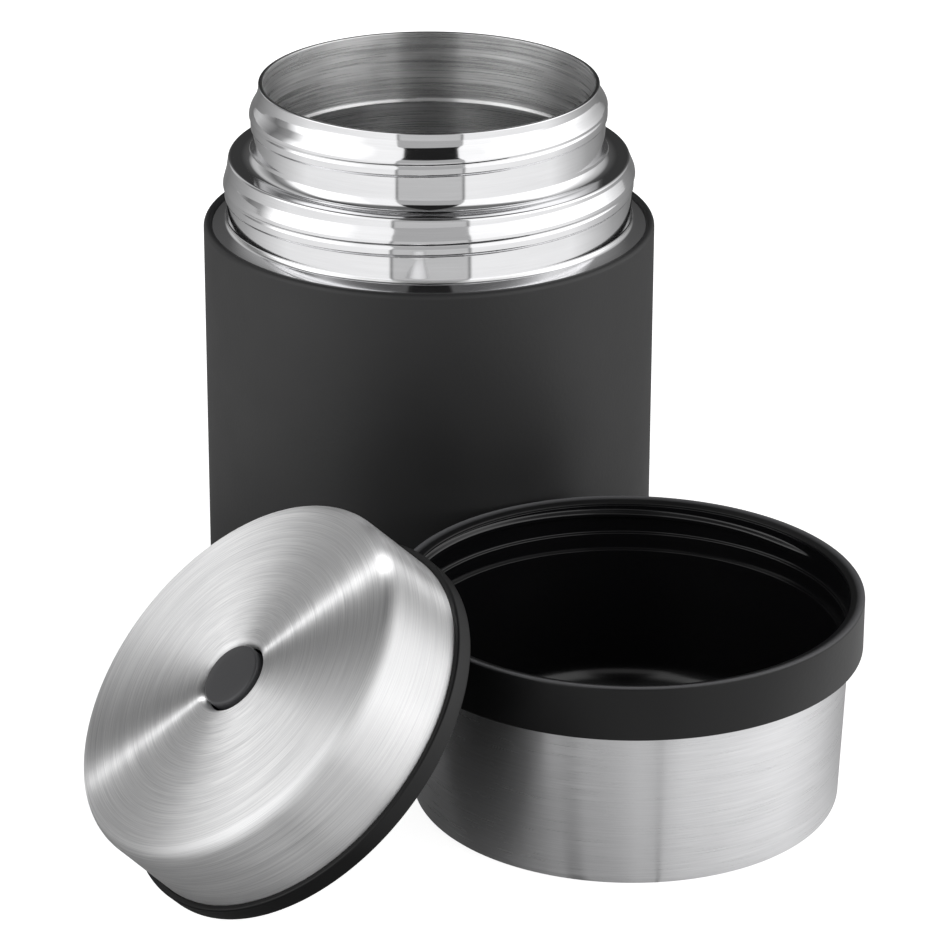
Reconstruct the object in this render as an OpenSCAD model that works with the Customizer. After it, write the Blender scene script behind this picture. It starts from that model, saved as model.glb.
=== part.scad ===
// Insulated food jar: a double-walled steel jar with a screw lid that holds a pressure valve,
// and a screw-on serving cup. The jar stands open, the cup stands mouth up beside it and the
// lid leans on the cup. All lengths are in millimetres, Z is up, and the origin is the middle
// of the jar's underside.

/* [Jar body] */
// Outer diameter of the coated body
body_d = 95; // [80:0.5:112]
// Height of the rim above the table
jar_h = 119.8; // [105:0.1:160]
// Thickness of the steel sheet of the outer shell
shell_sheet = 0.5; // [0.3:0.05:0.6]
// Thickness of the soft black coat
coat_t = 0.25; // [0.1:0.05:0.5]
// Turn of the coated shoulder's rounded corner, in degrees
shoulder_turn = 60; // [50:1:65]
// Share of the step from the body's side to the lower neck that the shoulder's corner takes
shoulder_share = 0.3107; // [0.2:0.01:0.4]
// Turn of the steel shelf between the coat's edge and the lower neck, in degrees from upright
shelf_turn = 68; // [60:1:75]
// Share of the shelf's width that the hollow corner at the neck's foot takes
shelf_fillet_share = 0.34; // [0.2:0.01:0.6]
// Radius of the curl at the foot of the shell
foot_r = 2.5; // [1.5:0.1:4]

/* [Jar neck] */
// Outer diameter of the upper neck wall, which the lid screws over
neck_d = 73; // [62:0.1:84]
// How far the rim lies inside the upper neck wall
rim_inset = 1.1; // [0.8:0.1:1.5]
// Height of the upper neck wall, from the ledge to the rim
upper_h = 15.7; // [14:0.1:18]
// Share of the way from the upper neck wall to the body's side at which the ledge ends
ledge_share = 0.4864; // [0.44:0.01:0.51]
// Share of that way at which the lower neck wall stands, which the cup screws over
collar_share = 0.5318; // [0.52:0.01:0.58]
// Height from the coat's upper edge to the ledge
lower_h = 14.7; // [13.6:0.1:17]
// Height of the flare below the rim
flare_h = 1.6; // [1.3:0.1:3]
// Height of the straight lip above the flare
lip_h = 3.4; // [2:0.1:3.6]
// Share of the ledge's width that the hollow corner at the upper wall takes
ledge_fillet_share = 0.4673; // [0.2:0.01:0.6]
// Radius of the ledge's outer edge
ledge_edge_r = 0.6; // [0.55:0.05:1]
// Height over which the wall below the ledge widens
ledge_taper_h = 3.4; // [2:0.1:4]

/* [Rolled threads] */
// Rise of a thread in one turn
thread_pitch = 5; // [4:0.1:6]
// How far a rolled thread stands out of its wall
thread_proud = 0.8; // [0.6:0.05:1]
// Height of a rolled thread's upper slope, above its crest line
thread_slope_h = 2.6; // [2:0.1:3.2]
// Height of the small roll under a thread's crest line
thread_roll_h = 2.8; // [2:0.1:3]
// Drop from the rim to the upper thread's crest line, at the front
upper_thread_drop = 6.3; // [6:0.1:7.5]
// Drop from the ledge to the lower thread's crest line, at the front
lower_thread_drop = 5.4; // [5:0.1:6]
// Turn of a rolled thread from end to end, in degrees
thread_turn = 330; // [180:7.5:345]
// Length of a thread's run-out at each end, in degrees
thread_fade = 25; // [15:1:40]
// Clearance between the jar's threads and the caps that screw over them
thread_gap = 0.25; // [0.15:0.05:0.35]

/* [Inner vessel] */
// Thickness of the vessel's steel sheet
vessel_sheet = 0.4; // [0.3:0.05:0.6]
// Gap between the vessel's side and the outer shell's side
vacuum_gap = 2.5; // [1.5:0.1:4]
// Depth of the vessel's straight neck below the rim
vessel_neck_h = 15.4; // [13:0.1:18]
// Share of the widening below the vessel's neck that its rolled edge takes
vessel_roll_share = 0.1281; // [0.1:0.01:0.2]
// Slope of the vessel's shoulder, in degrees
vessel_slope = 62; // [60:1:68]
// Share of that widening that the radius of the vessel's shoulder takes
vessel_shoulder_share = 0.6403; // [0.3:0.01:1]
// Radius of the vessel's lower corner
vessel_corner_r = 9; // [5:0.5:14]
// Height of the vessel's floor above the table
vessel_floor_z = 8; // [7.5:0.1:12]

/* [Jar base] */
// Thickness of the floor plate and the base cap
base_sheet = 0.6; // [0.4:0.05:0.8]
// Height of the space between the base cap and the floor plate
base_space = 1.8; // [1.4:0.1:2.4]
// Height of the upturned flange of the floor plate
floor_flange_h = 3.2; // [2:0.1:4]
// Diameter of the dimple that holds the vacuum seal
dimple_d = 14; // [10:0.5:20]
// Depth of that dimple
dimple_h = 1; // [0.6:0.1:1.2]
// Diameter of the evacuation hole
seal_hole_d = 2; // [1:0.1:3]
// Diameter of the getter pellet
getter_d = 9; // [6:0.5:12]
// Thickness of the getter pellet
getter_h = 1.6; // [1:0.1:2]
// Share of the floor plate's radius at which the getter lies
getter_share = 0.5486; // [0.42:0.01:0.65]
// Thickness of the heat shield around the vessel
shield_t = 0.15; // [0.1:0.05:0.3]
// Height of the heat shield
shield_h = 66; // [40:1:70]

/* [Lid] */
// Height of the lid, from its lower edge to its top
lid_h = 21.5; // [20.5:0.1:24]
// Thickness of the lid cap's steel sheet
lid_sheet = 0.4; // [0.3:0.05:0.5]
// Wall of the lid's skirt at the thread's root
skirt_wall = 0.85; // [0.8:0.05:1.2]
// How far the lid cap's side leans inwards from its foot to its top
lid_draft = 0.5; // [0.2:0.05:0.6]
// Radius of the lid cap's top edge
lid_edge_r = 3; // [1.5:0.1:3.5]
// How far the black ring stands out beyond the steel cap
lid_ring_proud = 1.3; // [0.8:0.1:2]
// Height of the black ring
lid_ring_h = 3.7; // [3:0.1:5]
// Height of the groove in the ring that takes the steel cap's edge
lid_groove_h = 0.6; // [0.4:0.1:1]
// Thickness of the lid body's deck
deck_t = 1.4; // [1:0.1:2]
// Play between the jar's rim and the deck when the lid is screwed home
rim_play = 0.5; // [0.3:0.1:1]

/* [Lid plug] */
// Gap between the plug's side and the inside of the jar's neck
plug_gap = 1.5; // [1:0.1:2]
// Wall of the plug
plug_wall = 1.2; // [0.8:0.1:1.5]
// How far the plug's cover reaches below the lid's lower edge
plug_drop = 5.9; // [5:0.1:7]
// How much the plug's cover narrows towards its underside
plug_taper = 2; // [1:0.1:3]
// Thickness of the plug cover's floor
plug_floor_t = 1.4; // [1:0.1:2]
// Height of the gasket's body
gasket_h = 2.8; // [2:0.1:3.4]
// Clearance between the gasket's lip and the jar's neck
gasket_gap = 0.2; // [0.1:0.05:0.4]

/* [Valve] */
// Diameter of the button
button_d = 13.3; // [11:0.1:15]
// Running gap around the button
button_gap = 0.3; // [0.2:0.05:0.4]
// Depth of the button's edge below the lid's top
button_sunk = 0.6; // [0.3:0.1:1]
// Height of the button's crown
button_crown = 0.35; // [0.2:0.05:0.6]
// Height of the button's side
button_h = 4.9; // [4.5:0.1:5.5]
// Travel of the button
button_travel = 2; // [1:0.1:2.2]
// Radius of the turned-down edge around the button's hole
button_rim_r = 1.6; // [1:0.1:2]
// Diameter of the valve stem
stem_d = 3.5; // [3:0.1:4]
// Running clearance of the stem in its guide
stem_gap = 0.07; // [0.03:0.01:0.1]
// Diameter of the valve seal
valve_seal_d = 10.8; // [9:0.1:12]
// Thickness of the valve seal
valve_seal_t = 1.2; // [0.8:0.1:1.5]
// Diameter of the spring's wire
spring_wire = 0.6; // [0.4:0.05:0.7]
// Mean diameter of the spring
spring_d = 7.8; // [7.5:0.1:8.2]
// Number of curls in the spring
spring_curls = 6; // [4:1:6]

/* [Cup] */
// Height of the cup
cup_h = 43.8; // [38:0.1:60]
// Height of the black collar
cup_collar_h = 11.1; // [9:0.1:14]
// Wall of the black collar at its thickest
cup_collar_wall = 2.8; // [2.4:0.1:3.5]
// Thickness of the cup's steel sheet
cup_sheet = 0.4; // [0.3:0.05:0.6]
// How far the cup's steel side leans inwards from the collar to its foot
cup_draft = 1.25; // [0.6:0.05:1.6]
// Radius of the steel shell's lower corner
cup_corner_r = 2; // [1:0.1:5]
// Wall of the cup's liner
liner_wall = 0.9; // [0.7:0.05:1.2]
// Gap between the liner and the steel shell
liner_gap = 0.3; // [0.1:0.05:0.5]
// Radius of the liner's lower corner
liner_corner_r = 6; // [3:0.5:12]
// Air space between the liner's floor and the steel floor
cup_floor_gap = 2; // [1:0.1:4]
// Depth of the first step inside the cup, below its lip
first_step_drop = 7.2; // [6.6:0.1:7.6]
// Depth of the second step inside the cup, below its lip
second_step_drop = 10.6; // [10:0.1:11.4]
// Width of the first step
first_step_w = 0.7; // [0.5:0.05:0.8]

/* [Arrangement] */
// Compass angle of the cup seen from the jar, in degrees
cup_bearing = -65.7; // [-80:0.1:-50]
// Gap between the jar and the cup
stand_gap = 0.9; // [0.4:0.1:3]
// Share of the plug's radius at which the leaning lid meets the cup's lip
lean_share = 0.9145; // [0.6:0.01:0.94]
// Compass angle that the lid's top faces, in degrees
lid_heading = 208.2; // [200:0.1:215]
// How far the lid stands to one side of the line through the cup's middle
lid_aside = -0.9; // [-4:0.1:4]
// Gap at which the lid's plug lies off the cup's lip
lean_gap = 0.3; // [0.2:0.05:0.5]

/* [Hidden] */
$fn = 96;

// Overrun of a cut past the face it opens, and the seat between two pieces of one body
over = 1;
seat = 0.02;
// Segments in one turned arc
arc_steps = 7;

// Radii of the jar
body_r = body_d / 2;
neck_r = neck_d / 2;
rim_r = neck_r - rim_inset;
ledge_r = neck_r + (body_r - neck_r) * ledge_share;
collar_r = neck_r + (body_r - neck_r) * collar_share;
ledge_fillet = (ledge_r - neck_r) * ledge_fillet_share;
shoulder_inset = (body_r - collar_r) * shoulder_share;
coat_edge_r = body_r - shoulder_inset;
// Heights of the jar
ledge_z = jar_h - upper_h;
coat_top = ledge_z - lower_h;
// The coated shoulder's corner
shoulder_r = shoulder_inset / (1 - cos(shoulder_turn));
shoulder_z = coat_top - shoulder_r * sin(shoulder_turn);
// The shelf from the coat's edge to the hollow corner at the lower neck wall's foot
shelf_fillet = (coat_edge_r - collar_r) * shelf_fillet_share;
shelf_fillet_z = coat_top + shelf_fillet * sin(shelf_turn)
    + (coat_edge_r - collar_r - shelf_fillet * (1 - cos(shelf_turn))) / tan(shelf_turn);
// The inner neck and the vessel
neck_in_r = rim_r - shell_sheet - seat - vessel_sheet;
vessel_r = body_r - coat_t - shell_sheet - vacuum_gap - vessel_sheet;
vessel_neck_z = jar_h - vessel_neck_h;
vessel_roll_r = vessel_sheet + (vessel_r - neck_in_r) * vessel_roll_share;
vessel_shoulder_r = (vessel_r - neck_in_r) * vessel_shoulder_share;
foot_in_r = body_r - coat_t - foot_r - 0.4 * foot_r;
getter_offset = foot_in_r * getter_share;
floor_z = base_sheet + base_space;

// The lid's own heights are measured from its lower edge, which rests on the ledge
lid_root_r = neck_r + thread_proud + thread_gap;
lid_skirt_r = lid_root_r + skirt_wall;
lid_cap_foot_r = lid_skirt_r + 5 * seat + lid_sheet;
lid_ring_r = lid_cap_foot_r + lid_ring_proud;
lid_crest_r = neck_r + thread_gap;
lid_cap_foot_z = lid_ring_h - lid_groove_h / 2;
deck_z = upper_h + rim_play;
deck_top = deck_z + deck_t;
plug_r = neck_in_r - plug_gap;
plug_in_r = plug_r - plug_wall;
plug_foot_z = -plug_drop / 6;
cover_r = plug_r - plug_taper;
// The valve
button_r = button_d / 2;
guide_r = button_r + button_gap;
guide_wall = plug_wall;
button_edge_z = lid_h - button_sunk;
button_foot_z = button_edge_z - button_h;
button_top_t = 0.45 * button_h;
button_roof_z = button_edge_z - button_top_t;
guide_floor_t = plug_wall;
guide_floor_z = button_foot_z - button_travel - 1.6 * button_h / 2 + guide_floor_t;
stem_r = stem_d / 2;
spring_r = spring_d / 2;
valve_seal_r = valve_seal_d / 2;
foot_head_t = 0.65 * valve_seal_t;
seat_z = -plug_drop + valve_seal_t + foot_head_t;
boss_r = stem_r + 1.4 * plug_wall;
boss_bore_r = stem_r + 0.5 * plug_wall;

// The cup's own heights are measured from the table
cup_mouth_r = collar_r + thread_proud + thread_gap;
cup_collar_r = cup_mouth_r + cup_collar_wall;
cup_thread_r = collar_r + thread_gap;
collar_foot_z = cup_h - cup_collar_h;
cup_side_r = cup_mouth_r + 0.05;
cup_foot_r = cup_side_r - cup_draft;
steel_top_z = cup_h - first_step_drop - 4 * liner_gap;
first_step_z = cup_h - first_step_drop;
second_step_z = cup_h - second_step_drop;
first_step_r = cup_mouth_r - first_step_w;
second_step_r = cup_side_r - cup_sheet - liner_gap - liner_wall - 0.2 * liner_gap;
liner_draft = cup_draft;
liner_floor_z = cup_sheet + cup_floor_gap + liner_wall;
lip_t = cup_collar_h / 9;
lip_edge_r = lip_t / 4;

// Places of the cup and the lid
cup_away = body_r + cup_collar_r + stand_gap;
cup_x = cup_away * cos(cup_bearing);
cup_y = cup_away * sin(cup_bearing);
lid_edge = lid_ring_proud / 3;
// Tilt at which the ring stands on the table while the plug meets the cup's lip
lean_long = cover_r * lean_share + lid_ring_r - lid_edge;
lean_short = lid_edge + plug_drop + lip_edge_r + lean_gap;
lid_tilt = asin((cup_h - lip_edge_r - lid_edge) / norm([lean_long, lean_short]))
    + atan2(lean_short, lean_long);
lid_z = (lid_ring_r - lid_edge) * sin(lid_tilt) - lid_edge * cos(lid_tilt) + lid_edge;
// Distance of the lid's middle from the cup's axis, so that its plug meets the cup's lip
lean_reach = ((cup_collar_r - lip_edge_r) * sin(lid_tilt) + (cup_h - lip_edge_r) * cos(lid_tilt)
    + lip_edge_r + lean_gap + plug_drop - lid_z * cos(lid_tilt)) / sin(lid_tilt);
lid_x = cup_x + lean_reach * cos(lid_heading) - lid_aside * sin(lid_heading);
lid_y = cup_y + lean_reach * sin(lid_heading) + lid_aside * cos(lid_heading);

steel = [0.78, 0.79, 0.8];
soft_black = [0.12, 0.12, 0.13];
gloss_black = [0.04, 0.04, 0.045];
dark_grey = [0.27, 0.27, 0.28];
silicone = [0.62, 0.64, 0.66];
foam = [0.93, 0.92, 0.88];
copper = [0.72, 0.45, 0.3];

// Points of an arc in the half section, from one angle to another
function arc(cr, cz, r, from, to) =
    [for (i = [0:arc_steps]) let (a = from + (to - from) * i / arc_steps)
        [cr + r * cos(a), cz + r * sin(a)]];
function backwards(line) = [for (i = [len(line) - 1:-1:0]) line[i]];

// Turns a half section about the Z axis
module turned(section) {
    rotate_extrude() polygon(section);
}

// Line of the shell's foot and side, lying the given depth under the finished surface
function side_line(depth) = concat(
    [[body_r - coat_t - foot_r - 0.4 * foot_r, depth - coat_t]],
    arc(body_r - coat_t - foot_r, foot_r, foot_r + coat_t - depth, -90, 0),
    arc(body_r - shoulder_r, shoulder_z, shoulder_r - depth, 0, shoulder_turn));

// Line of the stepped neck from the coat's edge to the rim, lying the given depth inside it
function neck_line(depth) = concat(
    [[coat_edge_r - depth * cos(shelf_turn), coat_top - depth * sin(shelf_turn)]],
    arc(collar_r + shelf_fillet, shelf_fillet_z, shelf_fillet + depth, 180 + shelf_turn, 180),
    [[collar_r - depth, ledge_z - ledge_taper_h]],
    arc(ledge_r - ledge_edge_r, ledge_z - ledge_edge_r, ledge_edge_r - depth, 0, 90),
    arc(neck_r + ledge_fillet, ledge_z + ledge_fillet, ledge_fillet + depth, 270, 180),
    [for (i = [0:arc_steps]) let (t = i / arc_steps)
        [neck_r - depth - (neck_r - rim_r) * (1 - cos(180 * t)) / 2,
            jar_h - lip_h - flare_h * (1 - t)]]);

// How far the upper neck has narrowed towards the rim at a height
function neck_drop(z) = let (t = (z - jar_h + lip_h + flare_h) / flare_h)
    (neck_r - rim_r) * (1 - cos(180 * max(0, min(1, t)))) / 2;

// A helical ridge on a round wall. The section's points give how far each stands out of the
// wall and how high it lies over the thread's line; out is 1 on the outside of a wall and -1
// on the inside. The ends sink into the wall over the given angle.
module ridge(wall_r, section, line_z, from, to, fade, out, narrows = 0) {
    steps = round((to - from) / 7.5);
    m = len(section);
    sunk = -section[0][0];
    points = [for (i = [0:steps]) let (
            a = from + (to - from) * i / steps,
            full = min(1, (a - from) / fade, (to - a) / fade),
            z = line_z + thread_pitch * (a + 90) / 360)
        for (p = section) let (
                stand = p[0] > 0 ? -1.2 * sunk + (p[0] + 1.2 * sunk) * full : -sunk,
                low = p[1] * (0.5 + 0.5 * full),
                wall = wall_r - narrows * neck_drop(z + low),
                r = wall + out * (p[0] > 0 ? stand : -sunk * (1.4 - 0.4 * full)))
            [r * cos(a), r * sin(a), z + low]];
    sides = [for (i = [0:steps - 1], j = [0:m - 1]) let (
            a = i * m + j, b = i * m + (j + 1) % m, c = a + m, d = b + m)
        each [[a, d, b], [a, c, d]]];
    first_end = [for (j = [0:m - 3]) [m - 1, j, j + 1]];
    last_end = [for (j = [0:m - 3]) let (s = steps * m) [s + m - 1, s + j + 1, s + j]];
    faces = concat(sides, first_end, last_end);
    polyhedron(points, out > 0 ? faces : [for (f = faces) [f[0], f[2], f[1]]]);
}

// Section of a rolled thread: a long upper slope, the crest line and the small roll below
rolled_section = [
    [-shell_sheet / 2, -thread_roll_h],
    [-shell_sheet / 2, 0.3 * thread_slope_h],
    [-shell_sheet / 2, 0.65 * thread_slope_h],
    [-shell_sheet / 2, thread_slope_h],
    [0.55 * thread_proud, 0.5 * thread_slope_h],
    [thread_proud, 0.22 * thread_slope_h],
    [thread_proud, 0],
    [0.35 * thread_proud, -0.1 * thread_roll_h],
    [0.6 * thread_proud, -0.4 * thread_roll_h],
    [0.6 * thread_proud, -0.78 * thread_roll_h],
];

// Section of a moulded thread inside a cap
moulded_section = [
    [-skirt_wall / 2, -0.38 * thread_roll_h],
    [-skirt_wall / 2, 0.38 * thread_roll_h],
    [0.75 * thread_proud, 0.24 * thread_roll_h],
    [thread_proud, 0],
    [0.75 * thread_proud, -0.24 * thread_roll_h],
];

module outer_shell() {
    color(steel) union() {
        turned(concat(
            side_line(coat_t),
            neck_line(0),
            [[rim_r, jar_h - shell_sheet / 2], [rim_r - shell_sheet / 2, jar_h],
                [rim_r - shell_sheet, jar_h]],
            backwards(neck_line(shell_sheet)),
            backwards(side_line(coat_t + shell_sheet))));
        ridge(neck_r, rolled_section, jar_h - upper_thread_drop, -90 - thread_turn / 2,
            -90 + thread_turn / 2, thread_fade, 1, 1);
        ridge(collar_r, rolled_section, ledge_z - lower_thread_drop, -90 - thread_turn / 2,
            -90 + thread_turn / 2, thread_fade, 1);
    }
}

// The coat covers the side from the foot's curl to the shoulder's edge
module body_coat() {
    outer = [for (p = side_line(0)) if (p[1] >= foot_r) p];
    inner = [for (p = side_line(coat_t)) if (p[1] >= foot_r) p];
    color(soft_black) turned(concat(outer, backwards(inner)));
}

// Line of the vessel's inside from the rim to the middle of its floor, moved out by a depth
roll_end = 270 - vessel_slope;
vessel_roll_z = vessel_neck_z;
function vessel_line(depth) = let (
        roll_r = neck_in_r + vessel_roll_r,
        start_r = vessel_r - vessel_shoulder_r + vessel_shoulder_r * cos(90 - vessel_slope),
        end_r = roll_r + vessel_roll_r * cos(roll_end),
        end_z = vessel_roll_z + vessel_roll_r * sin(roll_end),
        start_z = end_z - (start_r - end_r) * tan(vessel_slope),
        bend_z = start_z - vessel_shoulder_r * sin(90 - vessel_slope))
    concat(
        arc(roll_r, vessel_roll_z, vessel_roll_r - depth, 180, roll_end),
        arc(vessel_r - vessel_shoulder_r, bend_z, vessel_shoulder_r + depth, 90 - vessel_slope, 0),
        arc(vessel_r - vessel_corner_r, vessel_floor_z + vessel_corner_r,
            vessel_corner_r + depth, 0, -90),
        [[0, vessel_floor_z - depth]]);

module inner_vessel() {
    color(steel) turned(concat(
        [[neck_in_r + vessel_sheet, jar_h], [neck_in_r + vessel_sheet / 2, jar_h],
            [neck_in_r, jar_h - vessel_sheet / 2]],
        vessel_line(0),
        backwards(vessel_line(vessel_sheet))));
}

module heat_shield() {
    inner = vessel_r + vessel_sheet + seat;
    foot = vessel_floor_z + vessel_corner_r;
    color(copper) translate([0, 0, foot]) difference() {
        cylinder(h = shield_h, r = inner + shield_t);
        translate([0, 0, -over]) cylinder(h = shield_h + 2 * over, r = inner);
    }
}

// The floor plate closes the vacuum space; its dimple holds the seal
module shell_floor() {
    r = foot_in_r - seat;
    top = floor_z + base_sheet;
    color(steel) difference() {
        union() {
            translate([0, 0, floor_z]) cylinder(h = floor_flange_h, r = r);
        }
        difference() {
            translate([0, 0, top]) cylinder(h = floor_flange_h + over, r = r - base_sheet);
            translate([0, 0, top - over]) cylinder(h = dimple_h + over, d = dimple_d);
        }
        translate([0, 0, floor_z - over]) cylinder(h = dimple_h + over, d = dimple_d - 2 * base_sheet);
        translate([0, 0, floor_z]) cylinder(h = floor_flange_h + over, d = seal_hole_d);
    }
}

// A drop of sealing glass closes the evacuation hole from below
module vacuum_seal() {
    z = floor_z + dimple_h;
    color(dark_grey) union() {
        translate([0, 0, z - 0.7 * dimple_h]) cylinder(h = 0.7 * dimple_h - seat, d = 2.6 * seal_hole_d);
        translate([0, 0, z - 0.7 * dimple_h]) cylinder(h = 0.7 * dimple_h + base_sheet / 2,
            d = seal_hole_d - 2 * seat);
    }
}

module at_getter() {
    translate([getter_offset, 0, floor_z + base_sheet + seat]) children();
}

module getter() {
    color(dark_grey) at_getter() cylinder(h = getter_h, d = getter_d);
}

// A thin strap that holds the getter pellet on the floor plate
module getter_clip() {
    t = base_sheet / 2;
    w = getter_d / 3;
    reach = getter_d / 2 + seat;
    foot = getter_d / 3;
    color(steel) at_getter() union() {
        translate([-reach - t, -w / 2, getter_h + seat]) cube([2 * (reach + t), w, t]);
        for (side = [-1, 1]) {
            translate([side > 0 ? reach : -reach - t, -w / 2, 0]) cube([t, w, getter_h + seat + t]);
            translate([side > 0 ? reach : -reach - foot, -w / 2, 0]) cube([foot, w, t]);
        }
    }
}

// The cap under the jar hides the vacuum seal and lies flush with the shell's foot
module base_cap() {
    r = foot_in_r - seat;
    color(steel) difference() {
        cylinder(h = floor_z - seat, r = r);
        translate([0, 0, base_sheet]) cylinder(h = floor_z, r = r - base_sheet);
    }
}

// Puts a piece of the lid, drawn upright, into the leaning lid
module at_lid() {
    translate([lid_x, lid_y, lid_z]) rotate([0, 0, lid_heading]) rotate([0, lid_tilt, 0]) children();
}

// Line of the lid cap's outside from its foot to the button's hole, moved in by a depth
function cap_line(depth) = let (
        top_r = lid_cap_foot_r - lid_draft,
        lean = atan(lid_draft / (lid_h - lid_cap_foot_z)))
    concat(
        [[lid_cap_foot_r - depth, lid_cap_foot_z]],
        arc(top_r - lid_edge_r, lid_h - lid_edge_r, lid_edge_r - depth, lean, 90),
        arc(guide_r + button_rim_r, lid_h - button_rim_r, button_rim_r - depth, 90, 165));

module lid_cap() {
    color(steel) at_lid() turned(concat(cap_line(0), backwards(cap_line(lid_sheet))));
}

// The moulded body: the black ring, the threaded skirt, the deck and the plug's wall
module lid_body() {
    groove_in = lid_skirt_r;
    groove_out = lid_cap_foot_r + 6 * seat;
    lead = skirt_wall / 2;
    skirt_top_r = lid_skirt_r - lid_draft;
    bevel = lid_edge;
    color(soft_black) at_lid() union() {
        turned(concat(
            [[lid_root_r + lead, 0]],
            arc(lid_ring_r - lid_edge, lid_edge, lid_edge, -90, 0),
            [[lid_ring_r, lid_ring_h - bevel], [lid_ring_r - bevel, lid_ring_h],
                [groove_out, lid_ring_h], [groove_out, lid_ring_h - lid_groove_h],
                [groove_in, lid_ring_h - lid_groove_h],
                [skirt_top_r, deck_top],
                [guide_r + guide_wall + seat, deck_top],
                [guide_r + guide_wall + seat, deck_z],
                [plug_in_r, deck_z], [plug_in_r, plug_foot_z], [plug_r, plug_foot_z],
                [plug_r, deck_z], [lid_crest_r, deck_z],
                [lid_crest_r, deck_z - 0.24 * upper_h], [lid_root_r, deck_z - 0.28 * upper_h],
                [lid_root_r, lead]]));
        ridge(lid_root_r, moulded_section, 0.34 * upper_h, -230, 50, thread_fade, -1);
    }
}

// Foam that fills the plug around the valve
module lid_core() {
    color(foam) at_lid() difference() {
        translate([0, 0, plug_foot_z + 10 * seat])
            cylinder(h = deck_z - plug_foot_z - 11 * seat, r = plug_in_r - 5 * seat);
        translate([0, 0, -lid_h]) cylinder(h = 3 * lid_h, r = guide_r + guide_wall + 5 * seat);
    }
}

// The plug's cover closes it from below; its boss carries the stem, its recess the seal
module plug_cover() {
    top = plug_foot_z;
    floor_top = -plug_drop + plug_floor_t;
    recess_r = valve_seal_r + 0.8 * plug_floor_t;
    edge = plug_floor_t / 2;
    color(soft_black) at_lid() turned([
        [recess_r, -plug_drop], [cover_r - edge, -plug_drop], [cover_r, -plug_drop + edge],
        [plug_r - 1.6 * plug_wall, plug_foot_z - gasket_h - seat],
        [plug_r - 0.3 * plug_wall, plug_foot_z - gasket_h - seat],
        [plug_r - 0.3 * plug_wall, plug_foot_z - gasket_h + 0.5 * plug_wall],
        [plug_r - 1.6 * plug_wall, plug_foot_z - gasket_h + 0.5 * plug_wall],
        [plug_r - 1.6 * plug_wall, top - seat],
        [plug_in_r - 0.2 * plug_wall, top - seat],
        [plug_in_r - 0.2 * plug_wall, top + 8 * seat],
        [plug_in_r - 1.2 * plug_wall, top + 8 * seat],
        [plug_in_r - 1.2 * plug_wall, floor_top], [recess_r + plug_floor_t, floor_top],
        [recess_r, seat_z + plug_floor_t], [boss_r, seat_z + plug_floor_t],
        [boss_r, guide_floor_z - seat], [boss_bore_r, guide_floor_z - seat],
        [boss_bore_r, seat_z], [recess_r, seat_z]]);
}

// A soft ring with one lip, held between the plug's foot and its cover
module lid_gasket() {
    low = plug_foot_z - gasket_h + 0.5 * plug_wall + seat;
    high = plug_foot_z - seat;
    lip_r = neck_in_r - gasket_gap;
    in_r = plug_r - 1.6 * plug_wall + seat;
    third = (high - low) / 3;
    color(silicone) at_lid() turned([
        [in_r, low], [plug_r, low], [lip_r, low + 1.4 * third], [lip_r, low + 1.8 * third],
        [plug_r, low + 1.2 * third], [plug_r, high], [in_r, high]]);
}

// The guide stands in the deck; the button runs in its bore and the spring on its floor
module valve_guide() {
    flange_r = guide_r + 2.6 * guide_wall;
    rim_z = lid_h - button_rim_r - lid_sheet;
    color(soft_black) at_lid() turned([
        [guide_r, rim_z], [guide_r, guide_floor_z + guide_floor_t],
        [stem_r + stem_gap, guide_floor_z + guide_floor_t], [stem_r + stem_gap, guide_floor_z],
        [guide_r + guide_wall, guide_floor_z], [guide_r + guide_wall, deck_top + seat],
        [flange_r, deck_top + seat], [flange_r, deck_top + 0.5 * guide_wall],
        [guide_r + 0.6 * guide_wall, deck_top + 0.5 * guide_wall],
        [guide_r + 0.6 * guide_wall, rim_z]]);
}

module valve_button() {
    edge = button_crown;
    skirt_in = button_r - 0.8 * guide_wall;
    boss = stem_r + 0.6 * guide_wall;
    // The crown is an arc over the button's face
    face_r = button_r - edge;
    crown_r = (face_r * face_r + button_crown * button_crown) / (2 * button_crown);
    crown_angle = asin(face_r / crown_r);
    color(dark_grey) at_lid() turned(concat(
        [[0, stem_top_z + seat], [stem_r + seat, stem_top_z + seat], [stem_r + seat, button_foot_z],
            [boss, button_foot_z], [boss, button_roof_z], [skirt_in, button_roof_z],
            [skirt_in, button_foot_z], [button_r, button_foot_z]],
        arc(button_r - edge, button_edge_z - edge, edge, 0, 90),
        arc(0, button_edge_z + button_crown - crown_r, crown_r, 90 - crown_angle, 90)));
}
stem_top_z = button_edge_z - button_top_t;

// The stem joins the button to the seal and ends in a flat head below it
module valve_stem() {
    head_r = 0.6 * valve_seal_r;
    low = seat_z - valve_seal_t - foot_head_t - 2 * seat;
    color(steel) at_lid() union() {
        translate([0, 0, low]) cylinder(h = stem_top_z - low, r = stem_r);
        translate([0, 0, low]) cylinder(h = foot_head_t, r = head_r);
    }
}

module valve_seal() {
    color(silicone) at_lid() translate([0, 0, seat_z - valve_seal_t - 2 * seat + seat]) difference() {
        cylinder(h = valve_seal_t, r = valve_seal_r);
        translate([0, 0, -over]) cylinder(h = valve_seal_t + 2 * over, r = stem_r + seat);
    }
}

// The return spring is one unbroken tube. Its ends run straight for one wire diameter.
spring_low = guide_floor_z + guide_floor_t + spring_wire / 2 + seat;
spring_high = button_roof_z - spring_wire / 2 - seat;
ring_steps = 8 * spring_curls;
function spring_point(i) = let (a = 360 * i * spring_curls / ring_steps)
    [spring_r * cos(a), spring_r * sin(a),
        spring_low + (spring_high - spring_low) * i / ring_steps];
spring_middle = [for (i = [0:ring_steps]) spring_point(i)];
spring_path = concat(
    [spring_middle[0] - [0, spring_wire, 0]], spring_middle,
    [spring_middle[ring_steps] + [0, spring_wire, 0]]);
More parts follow.
